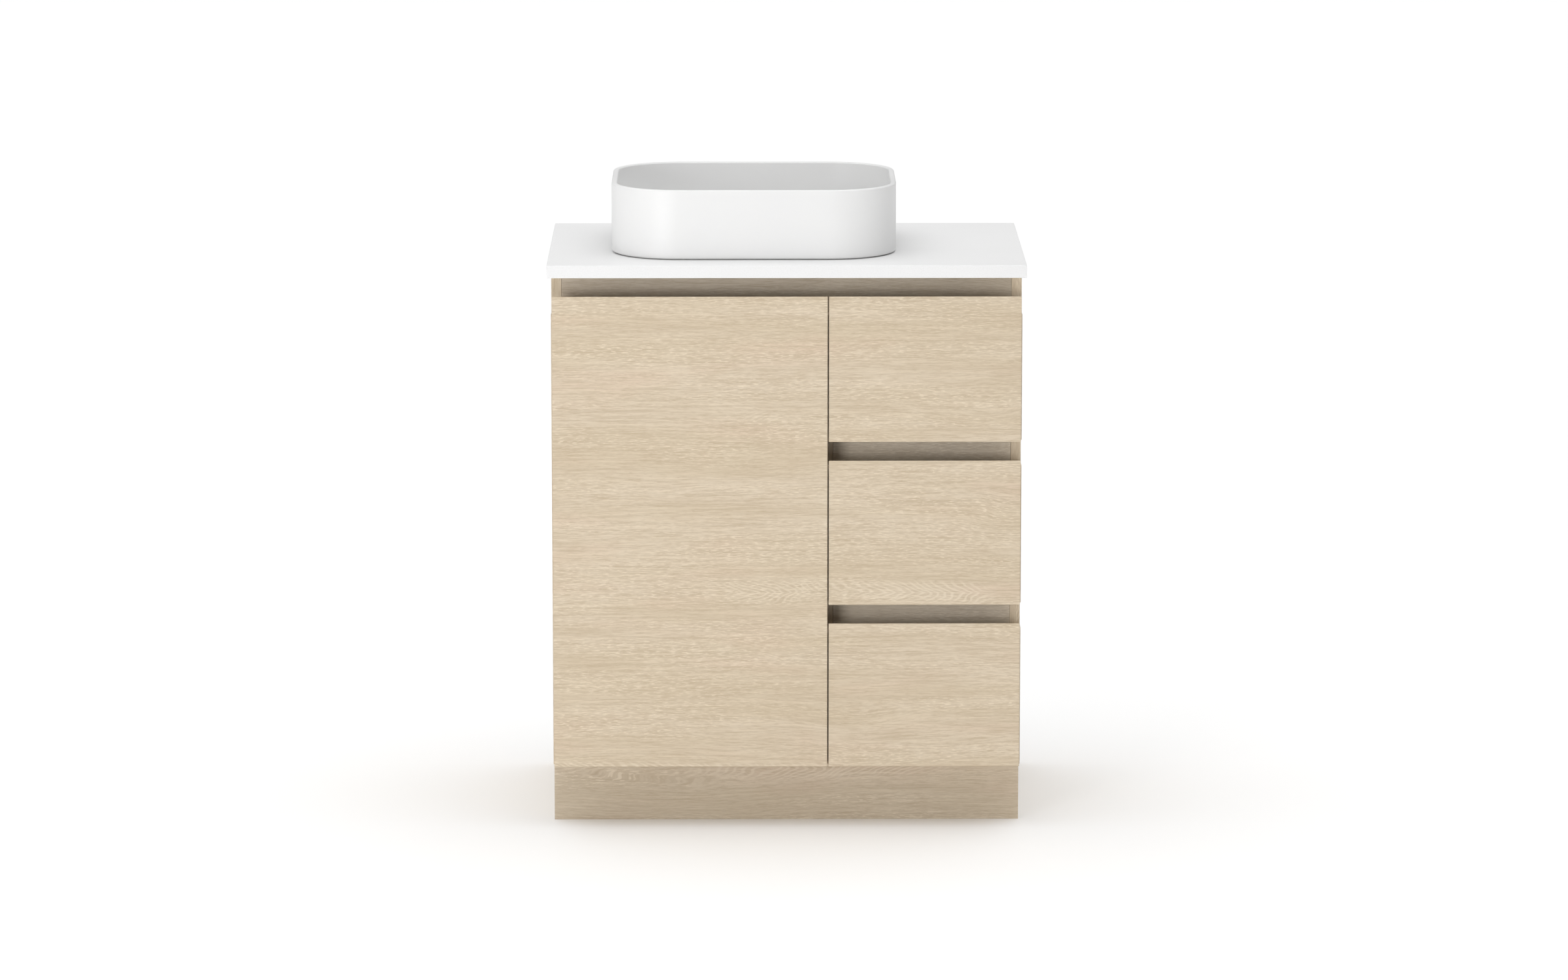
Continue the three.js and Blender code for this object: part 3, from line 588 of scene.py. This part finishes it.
def make_basin():
    low, high = corners("basin")
    seat = low.z + BASIN_FLOOR
    cove_foot = seat + BASIN_FALL
    cove_inset = BASIN_WALL + BASIN_COVE
    rings = [round_ring(WASTE_HOLE, low.z)]
    rings += basin_arc(BASIN_FOOT, low.z + BASIN_FOOT, BASIN_FOOT, 270, 180, FOOT_STEPS)
    rings += basin_arc(BASIN_RIM, high.z - BASIN_RIM, BASIN_RIM, 180, 90, RIM_STEPS)
    rings += basin_arc(BASIN_WALL - BASIN_RIM, high.z - BASIN_RIM, BASIN_RIM, 90, 0, RIM_STEPS)
    rings += basin_arc(cove_inset, cove_foot + BASIN_COVE, BASIN_COVE, 180, 270, COVE_STEPS)
    outside, inside = basin_ring(cove_inset, cove_foot), round_ring(WASTE_RECESS, seat)
    for step in range(1, FLOOR_STEPS + 1):
        share = step / FLOOR_STEPS
        rings.append([a.lerp(b, share) for a, b in zip(outside, inside)])
    rings.append(round_ring(WASTE_HOLE, seat))
    mesh = bmesh.new()
    loft(mesh, rings)
    piece("basin_body", mesh, GLAZE, "basin", "cabinet", ["basin"], edge=0, crease=50)


# ---------- waste and bottle trap ----------

# The parts of profiles named FROM are offsets from a corner: outwards, along the axis, and rib depth.
WASTE_WALL = 3.2
TUBE_CLEARANCE = 1.5
FLANGE_THICKNESS = 2.4
LIP_FROM_RIM = ((0, -1.2), (-0.4, -0.4), (-1.4, 0))
MOUTH_FROM_BORE = ((4, 0), (1, -3), (0, -5))
GUIDE_RISE = 36
GUIDE_BORE = 3.3
GUIDE_RADIUS = 6.5
GUIDE_ENDS = (-2, 10)
SPOKE_HALF_WIDTH = 1.6
SPOKE_HEIGHT = 6
SPOKE_OVERLAP = (0.5, 1)

CAP_THICKNESS = 4.8
CAP_EDGE = 1.6
CAP_DOME = 3.2
STEM_FROM_CAP = ((3, -4), (7, -1), (12, 0))
BRIM_FROM_EDGE = ((-0.8, 0), (0, 0.6))

RIB_DEPTH = 1.5
NECK_RADIUS = 16
NECK_LENGTH = 44
SLIP_CLEARANCE = 0.3
TRAP_WALL = 2.5
SHOULDER = 14
NECK_OVERLAP = 2
THREAD_CLEARANCE = 1.2

NUT_RIBS = 18
NUT_STEPS = 144
NUT_SEAT = 20
NUT_FOOT_FROM_RIM = ((-4, 0), (-2, 3), (0, 7, RIB_DEPTH))
NUT_TOP_FROM_RIM = ((0, -5, RIB_DEPTH), (-0.6, -3), (-0.6, 0))

SOCKET_BORE = 16.3
SOCKET_RADIUS = 21
SOCKET_FROM_HEAD = ((2, -6), (0, 2))

CUP_RIBS = 20
CUP_STEPS = 160
CUP_FLAT = 18
CUP_ROUND = (12, 16)
COLLAR_LENGTH = 15
COLLAR_FROM_RIM = ((0, -12, RIB_DEPTH), (0, -2, RIB_DEPTH), (-1, 0))
CUP_INSIDE = ((17, 3.5), (0, 2.5))

OUTLET_NUT_RIBS = 16
OUTLET_NUT_STEPS = 128
OUTLET_NUT_SEAT = 15
OUTLET_NUT_NEAR_FROM_RIM = ((-0.6, 0), (-0.6, 2), (0, 4, RIB_DEPTH))
OUTLET_NUT_FAR_FROM_RIM = ((0, -6, RIB_DEPTH), (-4, 0))


def moved(points, radius, along):
    """A profile's points, given from its corner at radius and along."""
    return [(radius + out, along + up, *depth) for out, up, *depth in points]


def upright(node):
    """The vertical axis of a CAD node, at height zero."""
    centre = middle(node)
    return (centre.x, centre.y, 0)


def outlet_axis():
    """The axis of the trap's outlet, where y is zero."""
    return (middle("trap_nut").x, 0, middle("trap_outlet_pipe").z)


def half_width(node):
    low, high = corners(node)
    return (high.x - low.x) / 2


def make_waste():
    low, high = corners("waste_body")
    centre = upright("waste_body")
    flange = half_width("waste_body")
    tube = WASTE_HOLE - TUBE_CLEARANCE
    bore = tube - WASTE_WALL
    under = high.z - FLANGE_THICKNESS
    mesh = bmesh.new()
    turn(mesh, [(bore, low.z), (tube, low.z), (tube, under), (flange, under)]
         + moved(LIP_FROM_RIM, flange, high.z) + moved(MOUTH_FROM_BORE, bore, high.z), centre)
    guide = low.z + GUIDE_RISE
    start, end = (guide + rise for rise in GUIDE_ENDS)
    turn(mesh, [(GUIDE_BORE, start), (GUIDE_RADIUS, start), (GUIDE_RADIUS, end), (GUIDE_BORE, end)],
         centre, steps=32)
    top = guide + SPOKE_HEIGHT
    section = ((-SPOKE_HALF_WIDTH, guide), (SPOKE_HALF_WIDTH, guide),
               (SPOKE_HALF_WIDTH, top), (-SPOKE_HALF_WIDTH, top))
    inner, outer = GUIDE_RADIUS - SPOKE_OVERLAP[0], bore + SPOKE_OVERLAP[1]
    for right, back in ((1, 0), (0, 1), (-1, 0), (0, -1)):
        rings = [[(centre[0] + reach * right - half * back, centre[1] + reach * back + half * right, z)
                  for half, z in section] for reach in (inner, outer)]
        loft(mesh, rings, closed=False)
    piece("waste_flange_and_tube", mesh, CHROME, "waste_metal", "cabinet", ["waste_body"], edge=0.3)


def make_plug():
    low, high = corners("waste_plug")
    cap = half_width("waste_plug")
    under = high.z - CAP_THICKNESS
    stem = STEM_FROM_CAP[0][0]
    mesh = bmesh.new()
    turn(mesh, [(0, low.z), (stem, low.z)] + moved(STEM_FROM_CAP, 0, under)
         + moved(BRIM_FROM_EDGE, cap, under) + arc(0, under + CAP_EDGE, cap, CAP_DOME, 0, 90, 6)
         + [(0, high.z)], upright("waste_body"))
    piece("waste_plug_cap", mesh, CHROME, "waste_metal", "waste_plug", ["waste_plug"], edge=0)


def make_trap_nut():
    low, high = corners("trap_nut")
    rim = half_width("trap_nut")
    neck = NECK_RADIUS + SLIP_CLEARANCE
    tube = WASTE_HOLE - THREAD_CLEARANCE
    seat = low.z + NUT_SEAT
    mesh = bmesh.new()
    turn(mesh, [(neck, low.z)] + moved(NUT_FOOT_FROM_RIM, rim, low.z)
         + moved(NUT_TOP_FROM_RIM, rim, high.z) + [(tube, high.z), (tube, seat), (neck, seat)],
         upright("trap_nut"), steps=NUT_STEPS, ribs=NUT_RIBS)
    piece("trap_nut_ribbed", mesh, TRAP_PLASTIC, "trap_plastic", "cabinet", ["trap_nut"], edge=0.3)


def make_trap_head():
    low, high = corners("trap_head")
    centre = upright("trap_nut")
    body = half_width("trap_head")
    inside = body - TRAP_WALL
    bore = NECK_RADIUS - TRAP_WALL
    neck = high.z - NECK_LENGTH
    mesh = bmesh.new()
    turn(mesh, [(inside, low.z), (body, low.z)]
         + arc(NECK_RADIUS, neck - SHOULDER, body - NECK_RADIUS, SHOULDER, 0, 90, 10)
         + [(NECK_RADIUS, neck), (NECK_RADIUS, high.z), (bore, high.z), (bore, neck - NECK_OVERLAP),
            (inside, neck - SHOULDER)], centre)
    socket = moved(SOCKET_FROM_HEAD, SOCKET_RADIUS, centre[1] + body)
    turn(mesh, [(SOCKET_BORE, socket[0][1])] + socket
         + [(SOCKET_RADIUS, high.y), (SOCKET_BORE, high.y)], outlet_axis(), "Y")
    piece("trap_head_moulded", mesh, TRAP_PLASTIC, "trap_plastic", "cabinet", ["trap_head"], edge=0.3)


def make_trap_cup():
    low, high = corners("trap_cup")
    body = half_width("trap_head")
    inside = body - TRAP_WALL
    wide, deep = CUP_ROUND
    mesh = bmesh.new()
    turn(mesh, [(0, low.z)] + arc(CUP_FLAT, low.z + deep, wide, deep, -90, 1, 10)
         + [(body, high.z - COLLAR_LENGTH)] + moved(COLLAR_FROM_RIM, half_width("trap_cup"), high.z)
         + [(inside, high.z), (inside, low.z + deep)] + moved(CUP_INSIDE, 0, low.z),
         upright("trap_nut"), steps=CUP_STEPS, ribs=CUP_RIBS)
    piece("trap_cup_ribbed", mesh, TRAP_PLASTIC, "trap_plastic", "cabinet", ["trap_cup"], edge=0.2)


def make_trap_outlet():
    low, high = corners("trap_outlet_nut")
    rim = half_width("trap_outlet_nut")
    bore = SOCKET_RADIUS + SLIP_CLEARANCE
    seat = low.y + OUTLET_NUT_SEAT
    mesh = bmesh.new()
    turn(mesh, [(bore, low.y)] + moved(OUTLET_NUT_NEAR_FROM_RIM, rim, low.y)
         + moved(OUTLET_NUT_FAR_FROM_RIM, rim, high.y)
         + [(SOCKET_BORE, high.y), (SOCKET_BORE, seat), (bore, seat)],
         outlet_axis(), "Y", steps=OUTLET_NUT_STEPS, ribs=OUTLET_NUT_RIBS)
    piece("trap_outlet_nut_ribbed", mesh, TRAP_PLASTIC, "trap_plastic", "cabinet", ["trap_outlet_nut"],
          edge=0.2)

    low, high = corners("trap_outlet_pipe")
    outer = half_width("trap_outlet_pipe")
    inner = outer - TRAP_WALL
    mesh = bmesh.new()
    turn(mesh, [(inner, low.y), (outer, low.y), (outer, high.y), (inner, high.y)], outlet_axis(), "Y")
    piece("trap_pipe", mesh, TRAP_PLASTIC, "trap_plastic", "cabinet", ["trap_outlet_pipe"], edge=0.3)


# ---------- screws, shelf pins, bumpers and hinge links ----------

SCREW_RADIUS = 3.4
SCREW_RISE = 1.5
SCREW_STEPS = 24
SCREW_PROFILE = ((0, 0), (1, 0), (1, 0.35), (0.9, 0.7), (0.7, 0.93), (0.52, 1), (0.46, 1), (0.2, 1),
                 (0, 0.5))
CROSS_REACH = 0.5
CROSS_DEPTH = 0.6
HINGE_PLATE_THICKNESS = 2.2
PLATE_SCREW_SETBACK = 36
PLATE_SCREW_SPREAD = 19
CUP_SCREW_SPREAD = 24.5
RUNNER_SHEET = 1.2
RUNNER_SCREW_SHARES = (0.08, 0.5, 0.92)

PIN_SETBACK = 45
PIN_DROP = 4.7
PIN_GAP = 0.3
PIN_PROFILE = ((0, 0), (4.6, 0), (4.6, 1.6), (2.5, 2), (2.5, 8), (2.1, 8.6), (0, 8.8))

BUMPER_RADIUS = 3.2
BUMPER_EDGE = 0.4
BUMPER_DOME = 1.2
BUMPER_INSET = 3.6
BUMPER_BELOW_TOP = 45
BUMPER_ABOVE_FOOT = 30

LINK_HALF_HEIGHT = 4.5
LINK_THICKNESS = 1.8
LINK_RINGS = 15
LINK_START_SETBACK = 4
LINK_END_SETBACK = 5.6
# For each link, how far it starts inside the arm's end, and ends to the side of the cup's middle.
LINKS = (("inner", 2.5, 6), ("outer", 7, -1))


def add_screw(mesh, place, axis, facing=1):
    """A cross-head screw head, standing on place and facing along the axis."""
    def cross(radius, step):
        on_arm = step % (SCREW_STEPS // 4) == 0
        return facing * SCREW_RISE * CROSS_DEPTH if radius < CROSS_REACH * SCREW_RADIUS and on_arm else 0

    turn(mesh, [(share * SCREW_RADIUS, facing * rise * SCREW_RISE) for share, rise in SCREW_PROFILE],
         place, axis, steps=SCREW_STEPS, sink=cross)


def add_hinge_screws():
    for level in LEVELS:
        low = corners(f"hinge_arm_{level}")[0]
        z = middle(f"hinge_arm_{level}").z
        mesh = bmesh.new()
        for spread in (-PLATE_SCREW_SPREAD, PLATE_SCREW_SPREAD):
            add_screw(mesh, (low.x + HINGE_PLATE_THICKNESS, low.y + PLATE_SCREW_SETBACK, z + spread), "X")
        piece(f"hinge_plate_screws_{level}", mesh, NICKEL, "hinge_metal", "cabinet", edge=0)

        back = corners(f"hinge_cup_{level}")[1].y
        centre = middle(f"hinge_cup_{level}")
        mesh = bmesh.new()
        for spread in (-CUP_SCREW_SPREAD, CUP_SCREW_SPREAD):
            add_screw(mesh, (centre.x, back, centre.z + spread), "Y")
        piece(f"hinge_cup_screws_{level}", mesh, NICKEL, "hinge_metal", "door", edge=0)


def add_runner_screws():
    for drawer in DRAWERS:
        for hand, facing in (("left", 1), ("right", -1)):
            low, high = corners(f"{drawer}_drawer_runner_{hand}")
            web = low.x + RUNNER_SHEET if facing > 0 else high.x - RUNNER_SHEET
            mesh = bmesh.new()
            for share in RUNNER_SCREW_SHARES:
                place = (web, low.y + share * (high.y - low.y), (low.z + high.z) / 2)
                add_screw(mesh, place, "X", facing)
            piece(f"{drawer}_drawer_runner_screws_{hand}", mesh, ZINC, "runner_metal", "cabinet", edge=0)


def add_shelf_pins():
    low, high = corners("shelf")
    mesh = bmesh.new()
    for x, facing in ((low.x - PIN_GAP, 1), (high.x + PIN_GAP, -1)):
        profile = [(radius, facing * along) for radius, along in PIN_PROFILE]
        for y in (low.y + PIN_SETBACK, high.y - PIN_SETBACK):
            turn(mesh, profile, (x, y, low.z - PIN_DROP), "X", steps=32)
    piece("shelf_pins", mesh, ZINC, "hinge_metal", "cabinet", edge=0.2)


def add_bumpers():
    """Clear dots on the front edge of the divider, for the door to close on."""
    edge = corners("divider")[0]
    foot, top = (corner.z for corner in corners("door"))
    profile = ([(0, 0), (BUMPER_RADIUS, 0)]
               + arc(0, -BUMPER_EDGE, BUMPER_RADIUS, -BUMPER_DOME, 0, 90, 15)
               + [(0, -BUMPER_EDGE - BUMPER_DOME)])
    mesh = bmesh.new()
    for z in (foot + BUMPER_ABOVE_FOOT, top - BUMPER_BELOW_TOP):
        turn(mesh, profile, (edge.x + BUMPER_INSET, edge.y, z), "Y", steps=32)
    piece("door_bumpers", mesh, BUMPER, "sealant", "cabinet", edge=0)


def add_hinge_links():
    """Two links from each hinge arm to the pin of its cup."""
    side = LINK_THICKNESS / 2
    section = ((-side, -LINK_HALF_HEIGHT), (side, -LINK_HALF_HEIGHT),
               (side, LINK_HALF_HEIGHT), (-side, LINK_HALF_HEIGHT))
    for level in LEVELS:
        arm_low, arm_high = corners(f"hinge_arm_{level}")
        cup_front = corners(f"hinge_cup_{level}")[0].y
        cup = middle(f"hinge_cup_{level}")
        for name, inset, offset in LINKS:
            start = Vector((arm_high.x - inset, arm_low.y + LINK_START_SETBACK, cup.z))
            end = Vector((cup.x + offset, cup_front + LINK_END_SETBACK, cup.z))
            spots = [start.lerp(end, step / (LINK_RINGS - 1)) for step in range(LINK_RINGS)]
            mesh = bmesh.new()
            loft(mesh, [[(spot.x + dx, spot.y, spot.z + dz) for dx, dz in section] for spot in spots],
                 closed=False)
            mesh.verts.ensure_lookup_table()
            for ring in (mesh.verts[:4], mesh.verts[-4:]):
                mesh.faces.new(ring)
            link = piece(f"hinge_link_{name}_{level}", mesh, NICKEL, "hinge_metal", edge=0.3)
            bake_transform(link)


dress_nodes()
make_basin()
make_waste()
make_plug()
make_trap_nut()
make_trap_head()
make_trap_cup()
make_trap_outlet()
add_hinge_screws()
add_runner_screws()
add_shelf_pins()
add_bumpers()
add_hinge_links()
